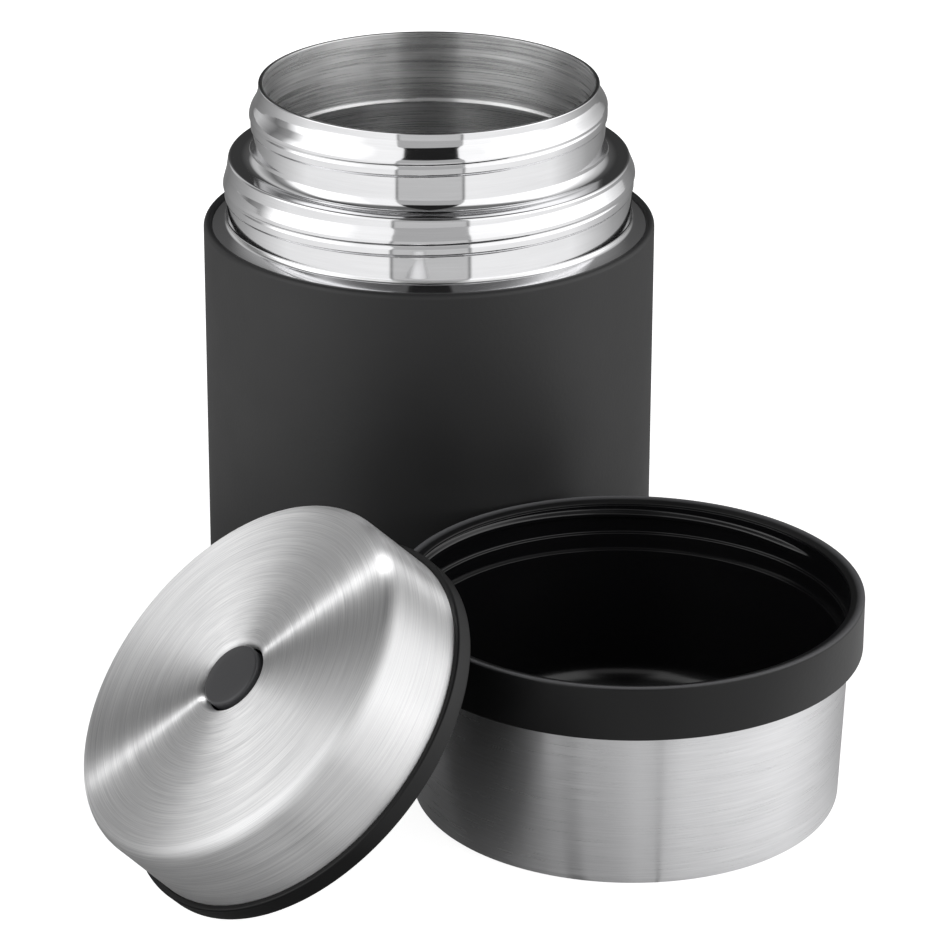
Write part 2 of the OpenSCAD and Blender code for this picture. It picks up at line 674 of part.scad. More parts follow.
// Least gap of the tube to itself, measured between points at least half a curl apart
spring_least = min([for (i = [0:ring_steps], j = [i + 4:ring_steps]) if (j < len(spring_middle))
    norm(spring_middle[i] - spring_middle[j])]) - spring_wire;

module valve_spring() {
    sides = 6;
    n = len(spring_path);
    points = [for (k = [0:n - 1]) let (
            before = spring_path[max(k - 1, 0)],
            after = spring_path[min(k + 1, n - 1)],
            along = (after - before) / norm(after - before),
            across = cross(along, [0, 0, 1]) / norm(cross(along, [0, 0, 1])),
            up = cross(across, along))
        for (s = [0:sides - 1]) let (a = 360 * s / sides)
            spring_path[k] + spring_wire / 2 * (cos(a) * across + sin(a) * up)];
    walls = [for (k = [0:n - 2], s = [0:sides - 1]) let (
            a = k * sides + s, b = k * sides + (s + 1) % sides, c = a + sides, d = b + sides)
        each [[a, b, d], [a, d, c]]];
    caps = [for (s = [1:sides - 2]) let (e = (n - 1) * sides)
        each [[0, s + 1, s], [e, e + s, e + s + 1]]];
    echo("least gap of the spring to itself", spring_least);
    color(steel) at_lid() polyhedron(points, [for (f = concat(walls, caps)) [f[0], f[2], f[1]]]);
}

// Puts a piece of the cup, drawn on the jar's axis, into its place beside the jar
module at_cup() {
    translate([cup_x, cup_y, 0]) children();
}

// Line of the steel cup's outside from the middle of its floor to its upper edge
function cup_line(depth) = let (
        lean = atan(cup_draft / collar_foot_z),
        top_r = cup_foot_r + steel_top_z * tan(lean))
    concat(
        [[0, depth]],
        arc(cup_foot_r + cup_corner_r * tan(lean) - cup_corner_r, cup_corner_r,
            cup_corner_r - depth, -90, -lean),
        [[top_r - depth, steel_top_z]]);

module cup_shell() {
    color(steel) at_cup() turned(concat(cup_line(0), backwards(cup_line(cup_sheet))));
}

// Line of the liner's inside from the middle of its floor to the second step
function liner_line(depth) = let (
        lean = atan(liner_draft / collar_foot_z))
    concat(
        [[0, liner_floor_z - depth]],
        arc(second_step_r - (second_step_z - liner_floor_z) * tan(lean) - liner_corner_r,
            liner_floor_z + liner_corner_r, liner_corner_r + depth, -90, -lean),
        [[second_step_r + depth, second_step_z]]);

// The liner: a bowl, two steps and the threaded mouth with a flange over the steel's edge
module cup_liner() {
    top = cup_h - lip_t - seat;
    flange_r = cup_mouth_r + liner_wall;
    soften = liner_wall / 6;
    color(gloss_black) at_cup() union() {
        turned(concat(
            liner_line(0),
            [[first_step_r - soften, second_step_z], [first_step_r, second_step_z + soften],
                [first_step_r, first_step_z - soften], [first_step_r + soften, first_step_z],
                [cup_mouth_r - soften, first_step_z], [cup_mouth_r, first_step_z + soften],
                [cup_mouth_r, top], [flange_r, top], [flange_r, steel_top_z + seat],
                [second_step_r + liner_wall, steel_top_z + seat]],
            backwards(liner_line(liner_wall))));
        ridge(cup_mouth_r, moulded_section, cup_h - 4.65 * lip_t, 25, 180, thread_fade, -1);
    }
}

// The collar grips the steel's upper edge and forms the lip
module cup_collar() {
    flange_r = cup_mouth_r + liner_wall + seat;
    steel_r = cup_foot_r + cup_draft + seat;
    top_steel_r = cup_foot_r + cup_draft * steel_top_z / collar_foot_z + seat;
    bevel = lip_edge_r;
    color(soft_black) at_cup() turned(concat(
        [[steel_r, collar_foot_z], [cup_collar_r - bevel, collar_foot_z],
            [cup_collar_r, collar_foot_z + bevel]],
        arc(cup_collar_r - lip_edge_r, cup_h - lip_edge_r, lip_edge_r, 0, 90),
        [[cup_mouth_r + lip_edge_r, cup_h], [cup_mouth_r, cup_h - lip_edge_r],
            [cup_mouth_r, cup_h - lip_t], [flange_r, cup_h - lip_t],
            [flange_r, steel_top_z + seat], [top_steel_r, steel_top_z + seat]]));
}

outer_shell();
body_coat();
inner_vessel();
heat_shield();
shell_floor();
vacuum_seal();
getter();
getter_clip();
base_cap();
lid_cap();
lid_body();
lid_core();
plug_cover();
lid_gasket();
valve_guide();
valve_button();
valve_stem();
valve_spring();
valve_seal();
cup_shell();
cup_liner();
cup_collar();
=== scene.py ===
import math

import bmesh
import bpy
from bpy.props import FloatProperty, FloatVectorProperty, IntProperty, PointerProperty
from bpy.types import Operator, Panel, PropertyGroup
from mathutils import Matrix, Vector


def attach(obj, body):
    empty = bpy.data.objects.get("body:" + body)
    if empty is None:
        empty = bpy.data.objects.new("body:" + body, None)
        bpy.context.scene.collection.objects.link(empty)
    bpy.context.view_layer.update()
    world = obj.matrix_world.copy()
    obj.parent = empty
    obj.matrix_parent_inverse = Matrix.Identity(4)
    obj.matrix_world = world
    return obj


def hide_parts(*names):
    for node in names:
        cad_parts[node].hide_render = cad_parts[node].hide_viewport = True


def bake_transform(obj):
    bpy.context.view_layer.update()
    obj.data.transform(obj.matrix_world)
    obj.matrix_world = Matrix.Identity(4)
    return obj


bl_info = {
    "name": "Insulated Food Jar",
    "version": (1, 0, 0),
    "blender": (4, 5, 0),
    "location": "View3D > Sidebar > Food Jar",
    "description": "Dresses the insulated food jar, its lid and its cup for a studio picture",
    "category": "Object",
}

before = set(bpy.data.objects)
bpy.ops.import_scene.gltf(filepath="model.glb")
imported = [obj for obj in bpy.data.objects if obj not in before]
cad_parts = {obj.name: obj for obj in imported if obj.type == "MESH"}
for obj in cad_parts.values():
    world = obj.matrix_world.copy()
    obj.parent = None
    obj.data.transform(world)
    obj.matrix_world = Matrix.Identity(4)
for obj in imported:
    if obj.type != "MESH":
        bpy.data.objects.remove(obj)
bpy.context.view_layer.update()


def length(name, description, default):
    """A size in metres that a user may change."""
    return FloatProperty(
        name=name, description=description, default=default, unit="LENGTH", precision=5
    )


def colour(name, description, default):
    """A finish's colour."""
    return FloatVectorProperty(
        name=name,
        description=description,
        default=default,
        subtype="COLOR",
        size=3,
        min=0.0,
        max=1.0,
    )


class JarSizes(PropertyGroup):
    """Sizes of the double-walled jar."""

    height: length("Height", "Height of the rim above the table", 0.1198)
    body_radius: length("Body Radius", "Radius of the coated side", 0.04725)
    sheet: length("Sheet", "Thickness of the outer shell's steel", 0.0005)
    coat: length("Coat", "Thickness of the soft coat", 0.00025)
    rim_radius: length("Rim Radius", "Outer radius of the rim's straight lip", 0.0354)
    lip_height: length("Lip Height", "Height of the straight lip", 0.0018)
    flare_height: length("Flare Height", "Height of the flare below the lip", 0.0034)
    neck_radius: length("Neck Radius", "Radius of the upper neck wall", 0.0367)
    ledge_height: length("Ledge Height", "Height of the ledge", 0.1041)
    ledge_radius: length("Ledge Radius", "Radius of the ledge's edge", 0.04185)
    collar_radius: length("Collar Radius", "Radius of the lower neck wall", 0.04235)
    coat_top: length("Coat Top", "Height of the coat's upper edge", 0.0894)
    shelf_round: length("Shelf Rounding", "Radius between lower neck and shelf", 0.0012)
    shelf_fall: FloatProperty(
        name="Shelf Fall",
        description="Angle at which the shelf falls away from the neck",
        default=math.radians(22),
        subtype="ANGLE",
        unit="ROTATION",
    )
    inner_radius: length("Inner Radius", "Radius of the inner neck", 0.03448)
    vessel_radius: length("Vessel Radius", "Inner radius of the vessel", 0.04385)
    floor_height: length("Floor Height", "Height of the vessel's floor", 0.008)


class ThreadSizes(PropertyGroup):
    """Sizes of the rolled and moulded threads."""

    pitch: length("Pitch", "Rise of a thread in one turn", 0.005)
    proud: length("Proud", "How far a rolled thread stands out", 0.0007)
    slope: length("Slope", "Height of the slope above the crest line", 0.0032)
    roll: length("Roll", "Height of the small roll below the crest line", 0.0028)
    upper_line: length("Upper Line", "Height of the upper crest line in front", 0.11395)
    lower_line: length("Lower Line", "Height of the lower crest line in front", 0.099)


class LidSizes(PropertyGroup):
    """Sizes of the lid, from its lower edge up its own axis."""

    height: length("Height", "Height of the lid's top", 0.0215)
    foot_radius: length("Foot Radius", "Radius of the steel cap's foot", 0.0389)
    top_radius: length("Top Radius", "Radius of the steel cap at its top", 0.0384)
    edge_round: length("Edge Rounding", "Radius of the cap's top edge", 0.003)
    ring_radius: length("Ring Radius", "Radius of the black ring", 0.0402)
    ring_height: length("Ring Height", "Height of the black ring", 0.0037)
    hole_radius: length("Hole Radius", "Radius of the button's hole", 0.00695)
    hole_round: length("Hole Rounding", "Radius of the hole's turned edge", 0.0016)
    button_radius: length("Button Radius", "Radius of the button", 0.00645)
    button_sunk: length("Button Depth", "Depth of the button's edge", -0.0003)
    button_crown: length("Button Crown", "Rise of the button's middle", 0.00035)


class CupSizes(PropertyGroup):
    """Sizes of the serving cup."""

    height: length("Height", "Height of the lip", 0.0438)
    collar_radius: length("Collar Radius", "Radius of the black collar", 0.0462)
    collar_foot: length("Collar Foot", "Height of the collar's lower edge", 0.0327)
    mouth_radius: length("Mouth Radius", "Inner radius of the mouth", 0.0434)
    steel_top_radius: length("Steel Top", "Steel radius at the collar", 0.04345)
    steel_foot_radius: length("Steel Foot", "Steel radius at the table", 0.0422)
    corner: length("Corner", "Radius of the steel's lower corner", 0.002)


class Places(PropertyGroup):
    """Where the loose cup and lid stand beside the jar."""

    cup: FloatVectorProperty(
        name="Cup",
        description="Middle of the cup's underside",
        default=(0.038929, -0.086219, 0.0),
        subtype="TRANSLATION",
        unit="LENGTH",
        size=3,
    )
    lid: FloatVectorProperty(
        name="Lid",
        description="Middle of the lid's lower edge",
        default=(-0.023698, -0.118778, 0.028147),
        subtype="TRANSLATION",
        unit="LENGTH",
        size=3,
    )
    lid_tilt: FloatProperty(
        name="Lid Tilt",
        description="Tilt of the leaning lid",
        default=math.radians(44.8),
        subtype="ANGLE",
        unit="ROTATION",
    )
    lid_heading: FloatProperty(
        name="Lid Heading",
        description="Compass angle that the lid's top faces",
        default=math.radians(208.2),
        subtype="ANGLE",
        unit="ROTATION",
    )


class Finishes(PropertyGroup):
    """Colours of the finishes."""

    neck_steel: colour("Neck Steel", "Polished neck", (0.72, 0.72, 0.73))
    vessel_steel: colour("Vessel Steel", "Brushed vessel", (0.76, 0.76, 0.765))
    spun_steel: colour("Spun Steel", "Circular brushed lid", (0.86, 0.86, 0.87))
    cup_steel: colour("Cup Steel", "Fine brushed cup", (0.66, 0.66, 0.67))
    soft_coat: colour("Soft Coat", "Soft-touch coat", (0.012, 0.012, 0.0125))
    black_plastic: colour("Black Plastic", "Satin black plastic", (0.005, 0.005, 0.0053))
    liner: colour("Liner", "Glossy black liner", (0.004, 0.004, 0.0045))
    button: colour("Button", "Matt dark grey button", (0.042, 0.042, 0.045))
    silicone: colour("Silicone", "Gasket and valve seal", (0.5, 0.51, 0.52))


class Studio(PropertyGroup):
    """Floor, lights and camera."""

    camera_place: FloatVectorProperty(
        name="Camera Place",
        description="Where the camera stands",
        default=(0.0, -0.8577, 0.3897),
        subtype="TRANSLATION",
        unit="LENGTH",
        size=3,
    )
    camera_pitch: FloatProperty(
        name="Camera Pitch",
        description="Angle that the camera looks down",
        default=0.396,
        subtype="ANGLE",
        unit="ROTATION",
    )
    camera_yaw: FloatProperty(
        name="Camera Yaw",
        description="Angle that the camera turns right",
        default=0.0117,
        subtype="ANGLE",
        unit="ROTATION",
    )
    camera_roll: FloatProperty(
        name="Camera Roll",
        description="Angle that the camera leans",
        default=0.0038,
        subtype="ANGLE",
        unit="ROTATION",
    )
    lens: FloatProperty(
        name="Lens", description="Focal length in millimetres", default=163.5
    )
    tent_light: FloatProperty(
        name="Tent Light", description="Brightness of the light tent's panels", default=1.8
    )
    strip_light: FloatProperty(
        name="Strip Light", description="Power of the narrow light behind the lid", default=1.5
    )
    turning_steps: IntProperty(
        name="Turning Steps", description="Faces round a turned piece", default=224
    )


def at_cup():
    """Places a piece drawn on the jar's axis into the cup."""
    return Matrix.Translation(bpy.context.scene.jar_places.cup)


def at_lid():
    """Places a piece drawn upright at the origin into the leaning lid."""
    p = bpy.context.scene.jar_places
    return (
        Matrix.Translation(p.lid)
        @ Matrix.Rotation(p.lid_heading, 4, "Z")
        @ Matrix.Rotation(p.lid_tilt, 4, "Y")
    )


def section(corners, closed=True):
    """A bmesh holding the half section of a turned piece.

    Each corner is radius, height and an optional rounding.
    """
    bm = bmesh.new()
    corners = [(*c, 0.0)[:3] for c in corners]
    verts = [bm.verts.new((r, 0.0, z)) for r, z, _ in corners]
    pairs = list(zip(verts, verts[1:])) + ([(verts[-1], verts[0])] if closed else [])
    for a, b in pairs:
        bm.edges.new((a, b))
    count = len(corners)
    for i, (r, z, rounding) in enumerate(corners):
        if not rounding:
            continue
        here = Vector((r, z))
        back = Vector(corners[i - 1][:2]) - here
        on = Vector(corners[(i + 1) % count][:2]) - here
        angle = back.angle(on)
        turn = math.degrees(math.pi - angle)
        bmesh.ops.bevel(
            bm,
            geom=[verts[i]],
            offset=rounding / math.tan(angle / 2),
            offset_type="OFFSET",
            affect="VERTICES",
            segments=max(3, round(turn / 9)),
            profile=0.5,
            material=-1,
            clamp_overlap=False,
        )
    return bm


def refine(bm, low, high, least, keep):
    """Cuts the section's edges between two heights into short rows, where keep(middle) holds."""
    for edge in bm.edges[:]:
        a, b = edge.verts[0].co, edge.verts[1].co
        middle = (a + b) / 2
        cuts = math.ceil((a - b).length / least) - 1
        if low <= middle.z <= high and cuts > 0 and keep(middle):
            bmesh.ops.subdivide_edges(bm, edges=[edge], cuts=cuts)


def turn(bm, steps=None):
    """Spins the half section once about the Z axis."""
    bmesh.ops.spin(
        bm,
        geom=bm.verts[:] + bm.edges[:],
        cent=(0.0, 0.0, 0.0),
        axis=(0.0, 0.0, 1.0),
        dvec=(0.0, 0.0, 0.0),
        angle=2 * math.pi,
        steps=steps or bpy.context.scene.jar_studio.turning_steps,
        use_merge=True,
        use_normal_flip=False,
        use_duplicate=False,
    )
    bmesh.ops.remove_doubles(bm, verts=bm.verts[:], dist=1e-7)
    bmesh.ops.recalc_face_normals(bm, faces=bm.faces[:])
    return bm


def lay_map(bm):
    """Lays a map whose first direction runs across the turning, for the grain of brushed steel."""
    layer = bm.loops.layers.uv.new("Turning")
    for face in bm.faces:
        middle = face.calc_center_median()
        base = math.atan2(middle.y, middle.x)
        for loop in face.loops:
            co = loop.vert.co
            angle = math.atan2(co.y, co.x) - base
            angle = (angle + math.pi) % (2 * math.pi) - math.pi
            height = (co.z - math.hypot(co.x, co.y)) * 10
            loop[layer].uv = (height, (base + angle) / (2 * math.pi))


def finish_piece(bm, name, body, material, nodes=(), place=None, sharp=35):
    """Makes the object, dresses it and hangs it on its body; a piece given two bodies is only
    baked in place.
    """
    lay_map(bm)
    if place is not None:
        bmesh.ops.transform(bm, matrix=place, verts=bm.verts[:])
    mesh = bpy.data.meshes.new(name)
    bm.to_mesh(mesh)
    bm.free()
    mesh.shade_smooth()
    mesh.set_sharp_from_angle(angle=math.radians(sharp))
    mesh.materials.append(material)
    piece = bpy.data.objects.new(name, mesh)
    bpy.context.scene.collection.objects.link(piece)
    if isinstance(body, tuple):
        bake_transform(piece)
    else:
        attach(piece, body)
    if nodes:
        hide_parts(*nodes)
    return piece


def lid_piece(bm, name, material, node, body="lid"):
    """Finishes a piece that is drawn upright on the lid's axis and leans with it."""
    return finish_piece(bm, name, body, MATERIALS[material], [node], at_lid())


def smooth(t):
    """Eases from 0 to 1."""
    t = max(0.0, min(1.0, t))
    return t * t * (3 - 2 * t)


def between(x, points, ease=smooth):
    """Reads a curve through the points at x."""
    if x <= points[0][0]:
        return points[0][1]
    for (x0, y0), (x1, y1) in zip(points, points[1:]):
        if x <= x1:
            return y0 + (y1 - y0) * ease((x - x0) / (x1 - x0))
    return points[-1][1]


def wind(z, turned, zone, thread, whole):
    """Lets a row of points climb with the thread, and level out away from it and from the zone."""
    low, high = zone
    foot, top = thread
    near = 1.0
    if z < foot:
        near = max(0.0, (z - low) / (foot - low))
    elif z > top:
        near = max(0.0, (high - z) / (high - top))
    near *= 1 - smooth((abs(turned) - whole) / (math.pi - whole))
    return z + near * bpy.context.scene.jar_threads.pitch * turned / (2 * math.pi)


def outline(bm, low, high):
    """Heights and radii of a section between two heights."""
    return sorted((v.co.z, v.co.x) for v in bm.verts if low <= v.co.z <= high)


def roll_thread(bm, line, zone, wall):
    """Pushes a rolled right-hand thread out of the neck's skin, whose rows climb with it."""
    t = bpy.context.scene.jar_threads
    shape = [
        (-1.0 * t.roll, 0.0),
        (-0.8 * t.roll, 0.58),
        (-0.42 * t.roll, 0.6),
        (-0.12 * t.roll, 0.3),
        (-0.03 * t.roll, 0.42),
        (0.03 * t.slope, 0.96),
        (0.1 * t.slope, 1.0),
        (0.25 * t.slope, 0.94),
        (1.0 * t.slope, 0.0),
    ]
    half, fade = math.radians(165), math.radians(25)
    low, high = zone
    for v in bm.verts:
        if not low <= v.co.z <= high:
            continue
        r = math.hypot(v.co.x, v.co.y)
        turned = math.atan2(v.co.x, -v.co.y)
        v.co.z = wind(v.co.z, turned, zone, (line - t.roll, line + t.slope), half - fade)
        full = smooth((half - abs(turned)) / fade)
        over = v.co.z - line - t.pitch * turned / (2 * math.pi)
        ease = smooth if over < 0.1 * t.slope else float
        out = between(v.co.z, wall, float) + t.proud * full * between(over, shape, ease)
        v.co.x *= out / r
        v.co.y *= out / r


def mould_thread(bm, wall_radius, zone, line, start, end, proud, half_height):
    """Pushes a moulded right-hand thread inwards from a cap's wall, whose rows climb with it."""
    pitch = bpy.context.scene.jar_threads.pitch
    middle = (start + end) / 2
    height = line + pitch * (middle + 90) / 360
    whole = math.radians(end - middle)
    low, high = zone
    for v in bm.verts:
        r = math.hypot(v.co.x, v.co.y)
        if abs(r - wall_radius) > 0.0001 or not low <= v.co.z <= high:
            continue
        turned = math.atan2(v.co.y, v.co.x) - math.radians(middle)
        turned = (turned + math.pi) % (2 * math.pi) - math.pi
        v.co.z = wind(v.co.z, turned, zone, (height - half_height, height + half_height), whole)
        full = smooth((whole - abs(turned)) / math.radians(20))
        over = abs(v.co.z - height - pitch * turned / (2 * math.pi)) / half_height
        push = proud * full * (1 - smooth((over - 0.25) / 0.75))
        v.co.x *= (r - push) / r
        v.co.y *= (r - push) / r


class Nodes:
    """Short calls for the nodes of one tree."""

    def __init__(self, tree):
        self.tree = tree

    def node(self, kind, inputs=(), **settings):
        n = self.tree.nodes.new(kind)
        for key, value in settings.items():
            setattr(n, key, value)
        for key, value in dict(inputs).items():
            if isinstance(value, bpy.types.NodeSocket):
                self.tree.links.new(value, n.inputs[key])
            else:
                n.inputs[key].default_value = value
        return n

    def ramp(self, value, low, high, to_low, to_high, kind="LINEAR"):
        return self.node(
            "ShaderNodeMapRange",
            {
                "Value": value,
                "From Min": low,
                "From Max": high,
                "To Min": to_low,
                "To Max": to_high,
            },
            interpolation_type=kind,
        ).outputs[0]

    def curve(self, value, low, high, stops):
        """Reads a grey level along stops of place and level."""
        n = self.node("ShaderNodeValToRGB", {"Fac": self.ramp(value, low, high, 0.0, 1.0)})
        line = n.color_ramp.elements
        while len(line) < len(stops):
            line.new(0.5)
        for stop, (place, grey) in zip(line, stops):
            stop.position = (place - low) / (high - low)
            stop.color = (grey, grey, grey, 1.0)
        return n.outputs[0]

    def maths(self, operation, a, b=0.0):
        n = self.node("ShaderNodeMath", {0: a, 1: b}, operation=operation)
        return n.outputs[0]

    def bearing(self, right, ahead):
        """Degrees to the right of straight ahead."""
        return self.maths("DEGREES", self.maths("ARCTAN2", right, ahead))

    def distance(self, point, place):
        n = self.node("ShaderNodeVectorMath", {0: point, 1: place}, operation="DISTANCE")
        return n.outputs["Value"]

    def product(self, *values):
        total = values[0]
        for value in values[1:]:
            total = self.maths("MULTIPLY", total, value)
        return total


class Finish(Nodes):
    """A node material under construction."""

    def __init__(self, name):
        self.material = bpy.data.materials.new(name)
        self.material.use_nodes = True
        super().__init__(self.material.node_tree)
        self.shader = self.tree.nodes["Principled BSDF"]

    def set(self, **values):
        for key, value in values.items():
            socket = self.shader.inputs[key.replace("_", " ")]
            if isinstance(value, bpy.types.NodeSocket):
                self.tree.links.new(value, socket)
            else:
                socket.default_value = value
        return self

    def place(self, location=(0, 0, 0), rotation=(0, 0, 0)):
        """Object coordinates, brought to the piece's own axis."""
        own = self.node("ShaderNodeTexCoord").outputs["Object"]
        return self.node(
            "ShaderNodeMapping",
            {"Vector": own, "Location": location, "Rotation": rotation},
            vector_type="TEXTURE",
        ).outputs[0]

    def noise(self, vector, scale, detail=2.0, roughness=0.5):
        return self.node(
            "ShaderNodeTexNoise",
            {
                "Vector": vector,
                "Scale": scale,
                "Detail": detail,
                "Roughness": roughness,
            },
        ).outputs["Fac"]

    def tint(self, value, dark, light):
        """Mixes two colours by a value."""
        n = self.node(
            "ShaderNodeMix",
            {0: value, 6: (*dark, 1.0), 7: (*light, 1.0)},
            data_type="RGBA",
        )
        return n.outputs[2]

    def bump(self, height, distance):
        n = self.node("ShaderNodeBump", {"Height": height, "Distance": distance, "Strength": 1.0})
        return n.outputs["Normal"]

    def grain(self):
        """The direction of the brushing, taken from the piece's own map."""
        return self.node(
            "ShaderNodeTangent", direction_type="UV_MAP", uv_map="Turning"
        ).outputs[0]


def shade(colour_value, factor):
    """A colour made darker or lighter."""
    return tuple(min(1.0, c * factor) for c in colour_value)


def turned_steel(
    name, base, lines, depth, rough, aniso, contrast, short=2.2, wide=0.5, location=(0, 0, 0),
    rotation=(0, 0, 0),
):
    """Steel brushed round its axis: long thin strokes that follow the turning."""
    f = Finish(name)
    own = f.place(location, rotation)
    axes = f.node("ShaderNodeSeparateXYZ", {"Vector": own}).outputs
    flat = f.node("ShaderNodeCombineXYZ", {"X": axes[0], "Y": axes[1]}).outputs[0]
    radius = f.node("ShaderNodeVectorMath", {0: flat}, operation="LENGTH").outputs["Value"]
    along = f.maths("SUBTRACT", axes[2], radius)
    round_x = f.maths("DIVIDE", axes[0], radius)
    round_y = f.maths("DIVIDE", axes[1], radius)
    strokes = f.node(
        "ShaderNodeCombineXYZ",
        {
            "X": f.maths("MULTIPLY", round_x, short),
            "Y": f.maths("MULTIPLY", round_y, short),
            "Z": f.maths("MULTIPLY", along, lines),
        },
    ).outputs[0]
    fine = f.noise(strokes, 1.0, 4.0, 0.65)
    wider = f.node("ShaderNodeMapping", {"Vector": strokes, "Scale": (1, 1, 0.16)}).outputs[0]
    broad = f.noise(wider, 1.0, 2.0)
    worn = f.maths(
        "ADD", f.maths("MULTIPLY", fine, 1 - wide), f.maths("MULTIPLY", broad, wide)
    )
    f.set(
        Base_Color=f.tint(
            f.ramp(worn, 0.3, 0.7, 0.0, 1.0),
            shade(base, 1 - contrast),
            shade(base, 1 + contrast),
        ),
        Metallic=1.0,
        Roughness=f.ramp(worn, 0.3, 0.7, rough * 0.85, rough * 1.15),
        Anisotropic=aniso,
        Tangent=f.grain(),
        Normal=f.bump(fine, depth),
    )
    return f.material


# Base colour of the painted highlight along the top of the cup's collar.
PAINTED_LIP_HIGHLIGHT = (0.12, 0.12, 0.125)


def plain_finish(name, base, rough, metallic=0.0, grain_scale=900.0, depth=2e-5, lip=None, **more):
    """A moulded or cast surface with a fine, faint grain, and a painted highlight along the top if
    a lip height is given.
    """
    f = Finish(name)
    own = f.place()
    grain = f.noise(own, grain_scale, 3.0)
    cloud = f.noise(own, grain_scale / 18, 2.0)
    # Painted highlight: the base colour turns paler from half a millimetre below the lip height
    # upwards.
    if lip:
        height = f.node("ShaderNodeSeparateXYZ", {"Vector": own}).outputs[2]
        tone_and_lip_highlight = f.tint(f.ramp(height, lip - 0.0005, lip - 0.0002, 0.0, 1.0), base, PAINTED_LIP_HIGHLIGHT)
    else:
        tone_and_lip_highlight = f.tint(cloud, shade(base, 0.9), shade(base, 1.1))
    f.set(
        Base_Color=tone_and_lip_highlight,
        Metallic=metallic,
        Roughness=f.ramp(cloud, 0.3, 0.7, rough * 0.94, rough * 1.06),
        Normal=f.bump(grain, depth),
        **more,
    )
    return f.material


MATERIALS = {}


class FOODJAR_OT_finishes(Operator):
    """Make the materials and dress the CAD nodes that stay in view"""

    bl_idname = "foodjar.finishes"
    bl_label = "Finishes"

    def execute(self, context):
        c = context.scene.jar_finishes
        p = context.scene.jar_places
        lid_turn = at_lid().to_euler()
        m = MATERIALS
        m["neck"] = turned_steel(
            "neck_steel", c.neck_steel, lines=2600, depth=1.5e-6, rough=0.07, aniso=0.5,
            contrast=0.05,
        )
        m["vessel"] = turned_steel(
            "vessel_steel", c.vessel_steel, lines=2300, depth=6e-6, rough=0.28, aniso=0.97,
            contrast=0.45, short=1.3, wide=0.35,
        )
        m["spun"] = turned_steel(
            "spun_steel", c.spun_steel, lines=5600, depth=6e-6, rough=0.4, aniso=1.0,
            contrast=0.22, short=1.8, wide=0.15, location=p.lid, rotation=lid_turn,
        )
        m["cup"] = turned_steel(
            "cup_steel", c.cup_steel, lines=3600, depth=2.5e-6, rough=0.3, aniso=0.95,
            contrast=0.1, short=3.0, wide=0.2, location=p.cup,
        )
        m["coat"] = plain_finish(
            "soft_coat", c.soft_coat, 0.5, grain_scale=1400.0, depth=2.2e-5
        )
        satin = {"rough": 0.36, "Specular_IOR_Level": 0.27}
        # The collar gets a painted highlight along its top: a paler base colour just below the
        # lip.
        lip = context.scene.cup_sizes.height
        m["plastic"] = plain_finish("black_plastic", c.black_plastic, **satin)
        m["collar"] = plain_finish("collar_plastic", c.black_plastic, lip=lip, **satin)
        m["liner"] = plain_finish(
            "gloss_liner", c.liner, 0.2, grain_scale=300.0, depth=2e-6
        )
        m["button"] = plain_finish(
            "grey_plastic", c.button, 0.4, grain_scale=1500.0, depth=2e-5
        )
        m["silicone"] = plain_finish("silicone", c.silicone, 0.45)
        m["plain"] = plain_finish("plain_steel", (0.6, 0.6, 0.61), 0.3, metallic=1.0)
        m["foil"] = plain_finish(
            "copper_foil", (0.72, 0.43, 0.27), 0.3, metallic=1.0, grain_scale=240.0, depth=1e-4
        )
        m["foam"] = plain_finish("foam", (0.85, 0.84, 0.8), 0.8, grain_scale=1200.0, depth=1e-4)
        m["glass"] = plain_finish(
            "seal_glass", (0.2, 0.22, 0.2), 0.12, grain_scale=300.0, depth=1e-5
        )
        m["getter"] = plain_finish(
            "getter_metal", (0.2, 0.2, 0.21), 0.6, metallic=1.0, grain_scale=2500.0, depth=5e-5
        )
        wear = {
            "heat_shield": "foil",
            "shell_floor": "plain",
            "vacuum_seal": "glass",
            "getter": "getter",
            "getter_clip": "plain",
            "lid_core": "foam",
            "valve_stem": "plain",
            "valve_spring": "plain",
            "outer_shell": "neck",
            "body_coat": "coat",
            "inner_vessel": "vessel",
            "base_cap": "plain",
            "lid_cap": "spun",
            "lid_body": "plastic",
            "plug_cover": "plastic",
            "lid_gasket": "silicone",
            "valve_guide": "plastic",
            "valve_button": "button",
            "valve_seal": "silicone",
            "cup_shell": "cup",
            "cup_liner": "liner",
            "cup_collar": "collar",
        }
        for node, key in wear.items():
            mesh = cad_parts[node].data
            mesh.materials.clear()
            mesh.materials.append(m[key])
        return {"FINISHED"}


